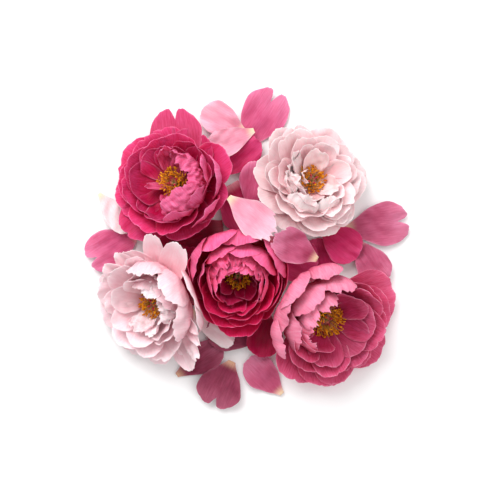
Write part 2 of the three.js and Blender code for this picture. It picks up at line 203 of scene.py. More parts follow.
class Petal:
    """The numbers of one petal; any can be given by name."""

    azimuth = 0  # the way it points, from its head's centre
    length = 50
    width = 44
    start = 6  # radius where it leaves the receptacle
    rise = -8  # height of that point above the seat
    base = 10  # angle above the horizontal at the base
    tip = 60  # and at the tip
    bend = 1.0  # over 1, it keeps straight and bends late
    wrap = 1.0  # how far it wraps round the head's axis
    spoon = 0.25  # hollowness of its own
    claw = 0.3  # its width at the base, as a share
    widest = 0.62  # how far along it is widest, as a share
    taper = 0.12  # how much it narrows past that
    shoulder = 0.62  # how far along its edges reach, as a share
    round = 2.3  # how square its tip is: 2 is an ellipse
    notches = ()  # (place across, depth, width)
    jag = 0.011  # height of the waves of its tip's edge, as a share of the length
    ruffle = 1.3  # height of the waves of its rim
    waves = 1.3  # and how close they are
    crumple = 0.5  # height of its crumples
    grain = 22  # and their size
    pinwheel = 1.2  # how much one edge stands higher than the other
    sway = 0  # sideways bend at its tip
    twist = 0  # how much its tip turns about its length
    pale = 0.0  # how far its colour goes towards the pale one
    tone = None  # its brightness against its neighbours'; random if None
    free = False  # whether it may pass over a neighbouring head
    rows = 26
    columns = 30

    def __init__(self, seed, **values):
        for key, value in values.items():
            if not hasattr(Petal, key):
                raise ValueError(key)
            setattr(self, key, value)
        self.rng = np.random.default_rng(seed)

    def grid(self):
        """Places along (0 to 1) and across (-1 to 1) the petal, each (rows, columns)."""
        u = 1 - (1 - np.linspace(0, 1, self.rows)) ** ROW_CROWDING
        quarter = math.pi / 2
        v = np.sin(np.linspace(-1, 1, self.columns) * quarter * COLUMN_CROWDING)
        v /= math.sin(quarter * COLUMN_CROWDING)
        return np.meshgrid(u, v, indexing="ij")

    def reach(self, v):
        """The share of its length that the petal reaches at v, with its notches."""
        edge = (1 - np.abs(v) ** self.round).clip(0) ** (1 / self.round)
        out = self.shoulder + (1 - self.shoulder) * edge
        for place, depth, width in self.notches:
            out -= depth * np.exp(-(np.abs(v - place) / width) ** NOTCH_SHARPNESS)
        for count, share in JAGS:
            phase = self.rng.uniform(*ANY_PHASE)
            out += self.jag * share * np.sin(count * v * JAG_SPACING + phase)
        return out

    def middle_line(self, s):
        """Radius, height and angle of the middle line at s, stepped finely along it."""
        fine = np.linspace(0, LINE_END, LINE_STEPS)
        base, tip = math.radians(self.base), math.radians(self.tip)
        angle = base + (tip - base) * fine**self.bend
        step = (fine[1] - fine[0]) * self.length
        radius = self.start + np.concatenate([[0], np.cumsum(np.cos(angle)[:-1])]) * step
        height = self.rise + np.concatenate([[0], np.cumsum(np.sin(angle)[:-1])]) * step
        return (np.interp(s, fine, values) for values in (radius, height, angle))

    def half_width(self, s, v):
        swelling = np.sin(np.minimum(1, s / self.widest) * math.pi / 2) ** CLAW_FLARE
        grow = self.claw + (1 - self.claw) * swelling
        grow *= 1 - self.taper * ((s - self.widest).clip(0) / (1 - self.widest)) ** 2
        phase = self.rng.uniform(*ANY_PHASE)
        grow *= 1 + EDGE_SWAY * np.sin(s * EDGE_SWAYS + phase) * np.sign(v)
        return self.width / 2 * grow

    def cross_section(self, s, t, radius, angle):
        """How far a point t from the middle line goes sideways and lifts as the petal cups."""
        bend = self.wrap * np.sin(angle).clip(0) / np.maximum(radius, LEAST_WRAP_RADIUS)
        hollow = np.sin(math.pi * np.minimum(1, s * (1 - SPOON_START) + SPOON_START))
        bend = bend + self.spoon * 2 / self.width * hollow
        bend = np.where(np.abs(bend) < FLAT, FLAT, bend)
        turn = np.clip(t * bend, -MOST_TURN, MOST_TURN)
        straight = t - turn / bend
        side = np.sin(turn) / bend + straight * np.cos(turn)
        lift = (1 - np.cos(turn)) / bend + np.abs(straight) * np.abs(np.sin(turn))
        return side, lift

    def relief(self, u, v, s, t):
        """Waves of the rim, crumples, twist and the middle crease, square to the petal."""
        rim = np.maximum(u**3, np.abs(v) ** 4 * smooth(*RIM_START, s))
        phase = self.rng.uniform(*ANY_PHASE)
        broad, fine = RUFFLES
        wave = np.sin(v * self.waves * broad + phase + 1.5 * s)
        wave = wave + 0.5 * np.sin(v * self.waves * fine + 2 * phase)
        bump = self.ruffle * rim * wave
        table = waves(self.rng, CRUMPLE_WAVES, *(self.grain * size for size in CRUMPLE_SIZES))
        crumples = field(table, t, s * self.length * CRUMPLE_STRETCH)
        bump = bump + self.crumple * smooth(0, CRUMPLE_START, s) * crumples
        bump = bump + self.pinwheel * v * s
        bump = bump + t * math.tan(math.radians(self.twist)) * s**2
        crease = np.exp(-((v / GROOVE_WIDTH) ** 2)) * smooth(0, GROOVE_START, s) * (1 - s)
        return bump - GROOVE_DEPTH * crease

    def surface(self):
        """The middle surface (rows, columns, 3) in the head's own frame, and its look.

        The look is what the colour needs: the share along, the distance from the edge, and
        the distances across and along.
        """
        u, v = self.grid()
        s = u * self.reach(v)
        radius, height, angle = self.middle_line(s)
        half = self.half_width(s, v)
        t = v * half
        side, lift = self.cross_section(s, t, radius, angle)
        lift = lift + self.relief(u, v, s, t)
        side = side + self.sway * s**2
        out = radius - lift * np.sin(angle)
        up = height + lift * np.cos(angle)
        turn = math.radians(self.azimuth)
        c, q = math.cos(turn), math.sin(turn)
        points = np.stack([out * c - side * q, out * q + side * c, up], -1)
        edge = np.minimum((1 - np.abs(v)) * half, (s[-1:, :] - s) * self.length)
        look = np.stack([s, edge, t, s * self.length], -1)
        return points, look


# ------------ meshes

GRAIN_SCALE = 0.1  # of the layer that veins and patches follow, for each mm
PETAL_THICKNESS = 0.45
SEPAL_THICKNESS = 0.9
THIN_EDGE = 3  # how far from its edge a petal begins to thin, to half its thickness
RIBS = 5  # round a stem
PARALLEL = 1e-3  # a cross product under this means that two directions are the same
TINY = 1e-9  # the least length that anything is divided by


def faces_of_grid(rows, columns, flip):
    i, j = np.meshgrid(np.arange(rows - 1), np.arange(columns - 1), indexing="ij")
    a = (i * columns + j).ravel()
    quads = np.stack([a, a + columns, a + columns + 1, a + 1], 1)
    return quads[:, ::-1] if flip else quads


def faces_of_rim(rows, columns):
    """The strip that joins a petal's two faces round the edge."""
    top = [i * columns for i in range(rows)]
    top += [(rows - 1) * columns + j for j in range(1, columns)]
    top += [i * columns + columns - 1 for i in range(rows - 2, -1, -1)]
    top += list(range(columns - 2, 0, -1))
    top = np.array(top)
    following = np.roll(top, -1)
    face = rows * columns
    return np.stack([top, top + face, following + face, following], 1)


def tube(path, radii, sides, squash=1.0, ribs=0.0, across=(0, 0, 1)):
    """A round form along a path, as rings of points (rows, sides, 3).

    Its sides are turned square to the direction across, and ribs is how far they stand out.
    """
    path = np.asarray(path, float)
    radii = np.broadcast_to(radii, len(path))
    along = np.gradient(path, axis=0)
    along /= np.linalg.norm(along, axis=1, keepdims=True)
    first = np.cross(along, np.asarray(across, float))
    size = np.linalg.norm(first, axis=1, keepdims=True)
    first = np.where(size < PARALLEL, [1.0, 0, 0], first / size.clip(TINY))
    second = np.cross(along, first)
    turn = np.arange(sides) * 2 * math.pi / sides
    rib = 1 + ribs * np.cos(turn * RIBS)
    c = (np.cos(turn) * rib)[None, :, None] * first[:, None]
    q = (np.sin(turn) * rib)[None, :, None] * second[:, None] * squash
    return path[:, None] + radii[:, None, None] * (c + q)


class Gathered:
    """Closed forms gathered into one mesh, with a tint at each point and a grain layer."""

    def __init__(self):
        self.points, self.quads, self.triangles = [], [], []
        self.colors, self.uvs = [], []
        self.count = 0

    def add_petal(self, points, look, colors, tone, thick=PETAL_THICKNESS, shift=(0, 0), pale=0.0):
        """Both faces of a petal from its middle surface, and the strip between them."""
        rows, columns = points.shape[:2]
        normal = np.cross(np.gradient(points, axis=0), np.gradient(points, axis=1))
        normal /= np.linalg.norm(normal, axis=-1, keepdims=True).clip(TINY)
        thinned = thick * (0.5 + 0.5 * smooth(0, THIN_EDGE, look[..., 1]))
        offset = normal * thinned[..., None] / 2
        self.points += [(points + offset).reshape(-1, 3), (points - offset).reshape(-1, 3)]
        self.quads.append(faces_of_grid(rows, columns, False) + self.count)
        self.quads.append(faces_of_grid(rows, columns, True) + self.count + rows * columns)
        self.quads.append(faces_of_rim(rows, columns) + self.count)
        for inner in (True, False):
            color = colors(look[..., 0], look[..., 1], look[..., 2], inner, tone, pale)
            self.colors.append(color.reshape(-1, 3))
            self.uvs.append((look[..., 2:4] * GRAIN_SCALE + np.array(shift)).reshape(-1, 2))
        self.count += 2 * rows * columns

    def add_tube(self, rings, color):
        """A round form with a cap at each end; color is one colour, or one for each ring."""
        rows, sides = rings.shape[:2]
        i, j = np.meshgrid(np.arange(rows - 1), np.arange(sides), indexing="ij")
        a = (i * sides + j).ravel()
        b = (i * sides + (j + 1) % sides).ravel()
        self.quads.append(np.stack([a, b, b + sides, a + sides], 1) + self.count)
        ring = np.arange(sides)
        following = (ring + 1) % sides
        last = (rows - 1) * sides
        centre = rows * sides
        first_cap = np.stack([following, ring, np.full(sides, centre)], 1)
        last_cap = np.stack([ring + last, following + last, np.full(sides, centre + 1)], 1)
        self.triangles += [first_cap + self.count, last_cap + self.count]
        ends = np.stack([rings[0].mean(0), rings[-1].mean(0)])
        points = np.concatenate([rings.reshape(-1, 3), ends])
        self.points.append(points)
        color = np.broadcast_to(color, (rows, 3))
        self.colors.append(np.concatenate([np.repeat(color, sides, axis=0), color[:1], color[-1:]]))
        self.uvs.append(points[:, [0, 2]] * GRAIN_SCALE)
        self.count += len(points)

    def piece(self, name, material, place=None):
        """The gathered forms as one object, taken to the CAD frame by place if it is given."""
        points = np.concatenate(self.points)
        if place:
            points = place(points)
        faces = np.concatenate(self.quads).tolist()
        if self.triangles:
            faces += np.concatenate(self.triangles).tolist()
        mesh = bpy.data.meshes.new(name)
        mesh.from_pydata((points * MM).tolist(), [], faces)
        mesh.polygons.foreach_set("use_smooth", np.ones(len(faces), bool))
        colors = np.concatenate([np.concatenate(self.colors), np.ones((self.count, 1))], 1)
        tint = mesh.color_attributes.new("tint", "FLOAT_COLOR", "POINT")
        tint.data.foreach_set("color", colors.ravel())
        corners = np.empty(len(mesh.loops), int)
        mesh.loops.foreach_get("vertex_index", corners)
        layer = mesh.uv_layers.new(name="grain")
        layer.uv.foreach_set("vector", np.concatenate(self.uvs)[corners].ravel())
        mesh.materials.append(material)
        made = bpy.data.objects.new(name, mesh)
        bpy.context.collection.objects.link(made)
        return made


def hand_over(piece, cad_node):
    """Tells the frame what the piece rides on, which CAD node it replaces."""
    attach(piece, "root")
    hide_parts(cad_node)


# ------------ colours

# Where the colours lie, as shares of a petal's length.
DEEP = 0.08
MIDDLE = 0.5
OUTER_FADE = (0.2, 0.95)
CLAW_END = 0.2
PALER_RIM = 0.4  # how far a paler petal's colour goes from the pale one to the rim's
# How far the paler edge and the painted rim highlight reach in, in mm, and their strengths.
EDGE_WIDTH = 5
EDGE_PALENESS = 0.3
RIM_HIGHLIGHT_WIDTH = 0.7
RIM_HIGHLIGHT_STRENGTH = 0.35
RIM_HIGHLIGHT_UNEVENNESS = 0.25


def linear(*rgb):
    """A colour given as 0 to 255 in sRGB, as linear values."""
    c = np.array(rgb) / 255
    return np.where(c <= 0.04045, c / 12.92, ((c + 0.055) / 1.055) ** 2.4)


# The rim colour is laid thinly along each petal's very edge as a painted highlight, where light
# catches the edge and shines through it; paler petals also lean towards it.
def palette(claw, deep, mid, pale, rim, outer_deep, outer_pale):
    """Colour along a petal: deep to pale on its inner face, and its own on the outer."""
    claw, deep, mid, pale, rim = (linear(*c) for c in (claw, deep, mid, pale, rim))
    outer_deep, outer_pale = linear(*outer_deep), linear(*outer_pale)

    def color(s, edge, across, inner, tone, paler):
        s, edge, across = s[..., None], edge[..., None], across[..., None]
        if inner:
            body = deep + (mid - deep) * smooth(DEEP, MIDDLE, s)
            body = body + (pale - body) * smooth(MIDDLE, 1.0, s)
        else:
            body = outer_deep + (outer_pale - outer_deep) * smooth(*OUTER_FADE, s)
        body = body + ((1 - PALER_RIM) * pale + PALER_RIM * rim - body) * paler
        body = claw + (body - claw) * smooth(0.0, CLAW_END, s)
        body = body + (pale - body) * EDGE_PALENESS * np.exp(-edge / EDGE_WIDTH)
        # The painted rim highlight's strength comes and goes along the edge, from petal to petal.
        rim_highlight_share = RIM_HIGHLIGHT_STRENGTH + RIM_HIGHLIGHT_UNEVENNESS * np.sin(0.4 * across + 5 * s + 40 * tone)
        # A thin band of the rim colour along the very edge: on the petals a painted highlight.
        body = body + (rim - body) * rim_highlight_share * np.exp(-edge / RIM_HIGHLIGHT_WIDTH)
        return (body * (1 + tone)).clip(0, 1)

    return color


HEAD_COLORS = {
    "crimson": palette(
        (240, 130, 140), (168, 0, 46), (196, 6, 80), (224, 78, 138), (248, 168, 202),
        (208, 44, 112), (240, 130, 176),
    ),
    "blush": palette(
        (246, 216, 190), (234, 150, 156), (246, 206, 210), (252, 230, 232), (254, 244, 243),
        (244, 200, 206), (251, 232, 233),
    ),
    "cerise": palette(
        (214, 110, 130), (176, 0, 50), (206, 0, 78), (234, 56, 122), (250, 164, 198),
        (214, 12, 90), (246, 130, 176),
    ),
    "ivory": palette(
        (248, 214, 190), (226, 152, 166), (243, 204, 211), (250, 228, 232), (254, 241, 243),
        (234, 178, 190), (242, 211, 217),
    ),
    "rose": palette(
        (236, 170, 170), (156, 10, 60), (190, 50, 100), (216, 104, 144), (248, 186, 206),
        (218, 78, 126), (250, 166, 192),
    ),
}
SEPAL_COLOR = palette(
    (150, 160, 90), (96, 124, 52), (110, 140, 62), (128, 152, 78), (170, 120, 96),
    (104, 132, 60), (122, 148, 74),
)
CREAM = (246, 232, 190)
LOOSE_COLORS = {
    "pink": palette(
        CREAM, (206, 80, 126), (212, 98, 142), (230, 140, 176), (246, 196, 215),
        (216, 114, 152), (236, 166, 192),
    ),
    "pale": palette(
        CREAM, (226, 146, 168), (234, 166, 186), (242, 196, 210), (250, 224, 230),
        (232, 168, 186), (242, 202, 214),
    ),
    "white": palette(
        CREAM, (244, 214, 216), (246, 224, 226), (250, 234, 236), (253, 242, 243),
        (244, 216, 220), (250, 232, 235),
    ),
    # A dusty mauve pink, darkened further as painted shade for petals that lie in the heads' shade.
    "mauve_and_shade": palette(
        CREAM, (178, 70, 108), (194, 94, 130), (214, 134, 164), (238, 186, 204),
        (200, 112, 144), (222, 154, 178),
    ),
    # Painted shade: pink darkened for the loose petals that lie in the heads' shade.
    "painted_shade": palette(
        (226, 196, 160), (138, 44, 76), (152, 62, 92), (176, 96, 122), (210, 148, 166),
        (158, 76, 104), (182, 110, 134),
    ),
    "deep": palette(
        (236, 170, 180), (186, 20, 84), (202, 44, 106), (214, 74, 130), (236, 140, 176),
        (204, 60, 116), (222, 100, 146),
    ),
    "dark": palette(
        (200, 110, 130), (140, 0, 46), (156, 6, 58), (178, 24, 78), (216, 90, 136),
        (160, 20, 70), (190, 50, 96),
    ),
}

# ------------ materials

PINK_GLOW = (1.0, 0.5, 0.6)  # how far each colour of light spreads inside the tissue
GREEN_GLOW = (0.4, 0.8, 0.2)
GLOW_DEPTH = 0.002  # metres
SHINE = 0.15
VEIN_STRETCH = (9, 0.7, 1)  # veins are fine across the petal and long along it
VEIN_DEPTH = 0.0007  # metres
VEIN_RELIEF = 0.5
PATCH_SHADE = 0.25  # how much the broad patches darken the tint
PATCH_ROUGHNESS = (-0.08, 0.1)  # and how they change the roughness


def add_node(tree, kind, **values):
    """A shader node with its settings and inputs given by name, with _ for a space."""
    made = tree.nodes.new(kind)
    for key, value in values.items():
        if key in made.bl_rna.properties:
            setattr(made, key, value)
        else:
            made.inputs[key.replace("_", " ")].default_value = value
    return made


def mixed(tree, first, second, **values):
    """A node that mixes two colour outputs."""
    mix = add_node(tree, "ShaderNodeMix", data_type="RGBA", **values)
    tree.links.new(first, mix.inputs["A"])
    tree.links.new(second, mix.inputs["B"])
    return mix


def ranged(tree, value, **limits):
    """The output of a map range of a value output."""
    made = add_node(tree, "ShaderNodeMapRange", **limits)
    tree.links.new(value, made.inputs["Value"])
    return made.outputs[0]


def tissue(name, vein, roughness=0.5, glow=0.25, spread=PINK_GLOW):
    """Thin tissue: its tint, darker veins along its length, and broad duller patches."""
    material = bpy.data.materials.new(name)
    material.use_nodes = True
    tree = material.node_tree
    tree.nodes.clear()
    link = tree.links.new
    out = add_node(tree, "ShaderNodeOutputMaterial")
    shader = add_node(
        tree,
        "ShaderNodeBsdfPrincipled",
        Subsurface_Weight=glow,
        Subsurface_Radius=spread,
        Subsurface_Scale=GLOW_DEPTH,
        Specular_IOR_Level=SHINE,
    )
    link(shader.outputs[0], out.inputs["Surface"])
    uv = add_node(tree, "ShaderNodeUVMap", uv_map="grain").outputs[0]
    stretch = add_node(tree, "ShaderNodeMapping", Scale=VEIN_STRETCH)
    link(uv, stretch.inputs["Vector"])
    veins = add_node(
        tree, "ShaderNodeTexNoise", Scale=1.0, Detail=4.0, Roughness=0.6, Distortion=0.3
    )
    link(stretch.outputs[0], veins.inputs["Vector"])
    patches = add_node(tree, "ShaderNodeTexNoise", Scale=0.6, Detail=3.0, Roughness=0.5)
    link(uv, patches.inputs["Vector"])
    tint = add_node(tree, "ShaderNodeVertexColor", layer_name="tint").outputs["Color"]
    darker = mixed(tree, tint, tint, blend_type="MULTIPLY", Factor=vein)
    veined = mixed(tree, darker.outputs["Result"], tint)
    lines = ranged(tree, veins.outputs["Fac"], From_Min=0.35, From_Max=0.7)
    link(lines, veined.inputs["Factor"])
    patched = mixed(tree, veined.outputs["Result"], tint, blend_type="MULTIPLY")
    shade = ranged(
        tree, patches.outputs["Fac"], From_Min=0.35, From_Max=0.65, To_Min=PATCH_SHADE, To_Max=0.0
    )
    link(shade, patched.inputs["Factor"])
    link(patched.outputs["Result"], shader.inputs["Base Color"])
    low, high = (roughness + change for change in PATCH_ROUGHNESS)
    rough = ranged(tree, patches.outputs["Fac"], To_Min=low, To_Max=high)
    link(rough, shader.inputs["Roughness"])
    bump = add_node(tree, "ShaderNodeBump", Strength=VEIN_RELIEF, Distance=VEIN_DEPTH)
    link(veins.outputs["Fac"], bump.inputs["Height"])
    link(bump.outputs[0], shader.inputs["Normal"])
    return material


# ------------ the whorls of the heads

VEINS = {"crimson": 0.6, "blush": 0.45, "cerise": 0.6, "ivory": 0.5, "rose": 0.6}

# How much more the petals close on the side that a head leans away from.
FOLD = {"crimson": 22, "blush": 14, "cerise": 14, "ivory": 26, "rose": 30}
GUARD_FOLD = 0.35  # the share of that which the guard petals take

# Towards which azimuth a head's petals are longer, and by what share of their length.
LOPSIDED = {"crimson": (260, 0.1)}


# A group of petals: how many, the first one's azimuth, the step to the next, and the numbers
# that all of them have. A fixed petal doesn't close as its head leans.
Group = namedtuple("Group", "size first step shape")


def ring(count, first, **shape):
    """Petals all the way round."""
    return Group(count, first, 360 / count, shape)


def arc(count, middle, step, **shape):
    """Petals on one side only."""
    return Group(count, middle - step * (count - 1) / 2, step, shape)


def single(azimuth, **shape):
    return ring(1, azimuth, **shape)


def dome(count, middle, step, start, length, width, base, tip, **shape):
    """Petals that arch over the flower on one side, with their outer faces up."""
    values = dict(start=start, length=length, width=width, base=base, tip=tip, rise=-3)
    values.update(spoon=0.35, wrap=0.8, claw=0.6, fixed=True, crumple=0.7)
    values.update(shape)
    return arc(count, middle, step, **values)


def petaloid(azimuth, length, width, base, tip, **shape):
    """One small crinkled petal among the stamens."""
    values = dict(length=length, width=width, base=base, tip=tip, rise=-2.5, crumple=1.3)
    values.update(grain=13, ruffle=1.6, jag=0.03, pale=0.5, waves=2.0)
    values.update(shape)
    return single(azimuth, **values)


def crinkled(azimuth, start, length, width, base, tip, **shape):
    """A crinkled petal that rises away from the centre and arches back over it."""
    values = dict(start=start, rise=2, crumple=1.1, grain=9, jag=0.03, pale=0.35, wrap=0.6)
    values.update(claw=0.5, spoon=0.5, waves=2.5, rows=34, columns=36)
    values.update(shape)
    return petaloid(azimuth, length, width, base, tip, **values)


RANKS = {"guard": 0, "outer": 1, "middle": 2, "inner": 3}
CRIMSON_CLEFT = ((0.05, 0.15, 0.09),)
WHORLS = {
    "crimson": {
        "guard": [
            ring(8, 12, length=61, width=54, base=3, tip=24, rise=-9),
            single(
                88, length=72, width=56, base=6, tip=22, rise=-9, notches=CRIMSON_CLEFT,
                pale=0.35, free=True,
            ),
        ],
        "outer": [
            ring(7, 35, length=59, width=48, base=8, tip=58, rise=-7.5, bend=1.4),
            arc(5, 155, 50, length=57, width=48, base=8, tip=86, rise=-6, bend=1.6),
            dome(2, 345, 52, 38, 44, 46, 26, 108),
        ],
        "inner": [
            arc(4, 160, 54, length=50, width=46, base=6, tip=102, rise=-4.5, bend=1.8),
            dome(3, 330, 42, 30, 44, 38, 44, 112),
            crinkled(38, 28, 36, 28, 48, 182, pale=0.9, rise=5),
            crinkled(308, 34, 52, 48, 42, 180, pale=0.9, rise=5, crumple=1.3),
            crinkled(352, 33, 34, 30, 60, 166, pale=0.6),
            petaloid(272, 36, 26, 26, 84, pale=0.3),
            petaloid(62, 46, 26, 30, 98, jag=0.05, bend=1.5),
            petaloid(100, 46, 22, 24, 104, jag=0.05, bend=1.6, pale=0.3),
            petaloid(196, 32, 10, 20, 76, pale=0.9, crumple=0.4),
        ],
    },
    "blush": {
        "guard": [
            ring(9, 5, length=57, width=44, base=4, tip=26, rise=-11),
        ],
        "outer": [
            ring(9, 25, length=56, width=40, base=9, tip=40, rise=-9.5, spoon=0.35),
            ring(8, 5, length=54, width=38, base=14, tip=52, rise=-8, spoon=0.35),
        ],
        "middle": [
            ring(8, 28, length=51, width=34, base=20, tip=64, rise=-6.5, spoon=0.4),
            ring(7, 5, length=47, width=34, base=27, tip=74, rise=-5, spoon=0.4),
        ],
        "inner": [
            crinkled(240, 33, 36, 34, 50, 160, pale=1.0, spoon=0.35, crumple=0.7, grain=14),
            crinkled(286, 31, 32, 28, 50, 160, pale=1.0, spoon=0.35, crumple=0.7, grain=14),
            crinkled(196, 26, 30, 24, 48, 152, pale=1.0, spoon=0.35, crumple=0.6, grain=14),
            petaloid(205, 42, 20, 40, 84, pale=0.9),
            petaloid(150, 50, 20, 34, 78, pale=0.8, crumple=0.6),
            petaloid(176, 50, 22, 30, 76, pale=0.8, crumple=0.6),
            petaloid(165, 30, 17, 46, 104, pale=0.9),
            petaloid(330, 38, 26, 36, 80, pale=0.6),
            petaloid(85, 40, 30, 38, 80, crumple=0.5, jag=0.01),
        ],
    },
    "cerise": {
        "guard": [
            arc(5, 270, 46, length=70, width=58, base=-2, tip=84, rise=-10, spoon=0.3),
            dome(4, 100, 40, 30, 62, 52, 14, 136, rise=-6),
        ],
        "outer": [
            arc(6, 270, 42, length=67, width=50, base=8, tip=100, rise=-8.5, spoon=0.3),
            arc(6, 255, 42, length=62, width=46, base=16, tip=108, rise=-7, spoon=0.3),
            dome(3, 84, 44, 24, 58, 44, 30, 138, rise=-5),
        ],
        "middle": [
            ring(7, 40, length=58, width=36, base=25, tip=114, rise=-5.5, jag=0.02),
            dome(3, 110, 40, 16, 52, 34, 44, 140, rise=-4, jag=0.03),
        ],
        "inner": [
            # The low tone darkens these innermost petals: painted shade in the deep middle of the
            # head.
            ring(
                6, 10, length=44, width=28, base=36, tip=104, rise=-4, jag=0.04, crumple=0.9,
                tone=-0.35,
            ),
            crinkled(128, 33, 46, 22, 66, 146, pale=0.5, jag=0.07, grain=14),
            crinkled(96, 31, 42, 20, 68, 146, pale=0.5, jag=0.07, grain=14),
            crinkled(66, 31, 42, 22, 68, 146, pale=0.6, jag=0.07, grain=14),
            crinkled(30, 30, 38, 22, 70, 140, pale=0.3, jag=0.07, grain=14),
            crinkled(160, 31, 38, 22, 70, 140, pale=0.4, jag=0.07, grain=14),
            crinkled(330, 28, 34, 24, 66, 130, pale=0.3, grain=12),
        ],
    },
    "ivory": {
        "guard": [
            arc(6, 212, 40, length=62, width=42, base=2, tip=32, rise=-9),
            dome(2, 10, 40, 42, 46, 44, 10, 118, rise=-5),
            single(85, length=78, width=23, base=10, tip=34, free=True, tone=0.05),
            single(59, length=84, width=31, base=12, tip=36, free=True, tone=0.05),
            single(302, length=74, width=26, base=6, tip=24, free=True, tone=-0.05),
            single(318, length=74, width=16, base=12, tip=34, free=True, tone=0),
            single(332, length=72, width=13, base=16, tip=44, free=True, tone=0.03),
            single(345, length=70, width=17, base=18, tip=52, free=True, tone=0),
            single(126, length=62, width=20, base=10, tip=34, tone=0.04),
            single(142, length=62, width=24, base=12, tip=42, rise=-7, tone=0),
        ],
        "outer": [
            arc(6, 212, 42, length=58, width=42, base=10, tip=52, rise=-7.5, spoon=0.35),
            arc(6, 205, 42, length=56, width=38, base=16, tip=66, rise=-6, spoon=0.35),
            dome(3, 40, 46, 33, 54, 46, 28, 140, jag=0.03, rows=32, columns=36),
        ],
        "inner": [
            arc(5, 212, 46, length=50, width=34, base=25, tip=80, rise=-4.5),
            dome(2, 50, 50, 24, 40, 34, 50, 140, jag=0.03),
            crinkled(20, 24, 30, 18, 60, 160, pale=1.0),
            crinkled(66, 26, 36, 26, 60, 158, pale=1.0),
            crinkled(345, 27, 32, 22, 60, 150, pale=1.0),
            petaloid(300, 40, 32, 30, 84, pale=0.8, jag=0.05),
            petaloid(250, 40, 28, 26, 90, pale=0.7, jag=0.05),
        ],
    },
    "rose": {
        "guard": [
            arc(4, 300, 46, length=68, width=60, base=3, tip=38, rise=-9),
            single(18, length=73, width=66, base=2, tip=20, rise=-9, free=True, pale=0.15),
            dome(4, 148, 33, 45, 50, 46, 14, 142, jag=0.02),
        ],
        "outer": [
            arc(5, 322, 44, length=66, width=56, base=10, tip=60, rise=-7.5, spoon=0.35),
            arc(5, 310, 44, length=63, width=52, base=15, tip=78, rise=-6, spoon=0.35),
            dome(3, 136, 44, 36, 54, 46, 30, 146, jag=0.03),
            dome(4, 165, 34, 28, 50, 32, 44, 144, jag=0.05, crumple=1.0),
        ],
        "inner": [
            arc(5, 318, 50, length=55, width=46, base=23, tip=82, rise=-4.5),
            petaloid(150, 34, 24, 30, 84, start=9, crumple=0.7, jag=0.05),
            petaloid(192, 34, 24, 30, 80, start=9, crumple=0.7, jag=0.05),
            petaloid(115, 36, 28, 30, 84, start=9, crumple=0.7, jag=0.05),
        ],
    },
}

# How far the petals of a group vary.
AZIMUTH_PLAY = (-0.25, 0.25)  # in steps
LENGTH_PLAY = (-0.07, 0.04)  # as a share
WIDTH_PLAY = (-0.16, 0.12)
TIP_PLAY = (-8, 8)
FIXED_TIP_PLAY = (-6, 6)
SWAY_PLAY = (-4, 4)
TWIST_PLAY = (-8, 8)
PINWHEEL_PLAY = (0.5, 2.2)
TONE_PLAY = (-0.1, 0.08)
GRAIN_PLAY = (0, 20)
NOTCHED = 0.65  # the share of petals that have a notch
NOTCH_PLACES = (-0.4, 0.4)
NOTCH_DEPTHS = (0.02, 0.07)
NOTCH_WIDTHS = (0.06, 0.14)
STAGGER = 0.5  # how much higher every second petal stands
START_RADIUS = 5.5  # where the guard petals leave the receptacle
START_STEP = 0.6  # how much further in each whorl starts
OPENING = 0.5  # how much petals open on the side that a head leans to, against the folding
BASE_FOLD = 0.25  # how much a petal's base folds, against its tip
INNER_GROUP = 0.5  # how far a whorl's later groups are in, as a share of a whorl
PETAL_SEED = 100


def cosine(degrees):
    return math.cos(math.radians(degrees))


def vary(rng, head, part, group, i):
    """The numbers of a group's petal i, varied, and closed on the side its head leans from."""
    values = {"rise": Petal.rise, **group.shape}
    fixed = values.pop("fixed", False)
    several = group.size > 1
    play = 1 if several else 0
    values["azimuth"] = group.first + (i + play * rng.uniform(*AZIMUTH_PLAY)) * group.step
    values["length"] *= 1 + play * rng.uniform(*LENGTH_PLAY)
    values["width"] *= 1 + play * rng.uniform(*WIDTH_PLAY)
    if several and head.name in LOPSIDED:
        side, share = LOPSIDED[head.name]
        values["length"] *= 1 + share * cosine(values["azimuth"] - side)
    if fixed:
        values["tip"] += rng.uniform(*FIXED_TIP_PLAY)
    elif several:
        back = -cosine(values["azimuth"] - head.toward)
        fold = FOLD[head.name] * (GUARD_FOLD if part == "guard" else 1)
        closing = fold * (back if back > 0 else OPENING * back)
        values["tip"] += closing + rng.uniform(*TIP_PLAY)
        values["base"] += BASE_FOLD * closing
    values["rise"] += STAGGER * (i % 2)
    values.setdefault("sway", rng.uniform(*SWAY_PLAY))
    values.setdefault("twist", rng.uniform(*TWIST_PLAY))
    values.setdefault("pinwheel", rng.uniform(*PINWHEEL_PLAY))
    values.setdefault("start", START_RADIUS - START_STEP * RANKS[part])
    if "notches" not in values and rng.uniform() < NOTCHED:
        notch = tuple(rng.uniform(*span) for span in (NOTCH_PLACES, NOTCH_DEPTHS, NOTCH_WIDTHS))
        values["notches"] = (notch,)
    return values


def build_whorl(head, part, groups, seed, material):
    petals = Gathered()
    rank = RANKS[part]
    for g, group in enumerate(groups):
        for i in range(group.size):
            rng = np.random.default_rng([seed, rank, g, i])
            petal = Petal([seed, rank, g, i, 1], **vary(rng, head, part, group, i))
            local, look = petal.surface()
            points = head.place(local)
            if not petal.free:
                points = press(points, head, rank + INNER_GROUP * min(g, 1))
            tone = rng.uniform(*TONE_PLAY) if petal.tone is None else petal.tone
            shift = rng.uniform(*GRAIN_PLAY, 2)
            petals.add_petal(
                points, look, HEAD_COLORS[head.name], tone, shift=shift, pale=petal.pale
            )
    piece = petals.piece(f"{head.name}_{part}_petals", material)
    hand_over(piece, f"{head.name}_peony_{part}_petals")


# ------------ stamens

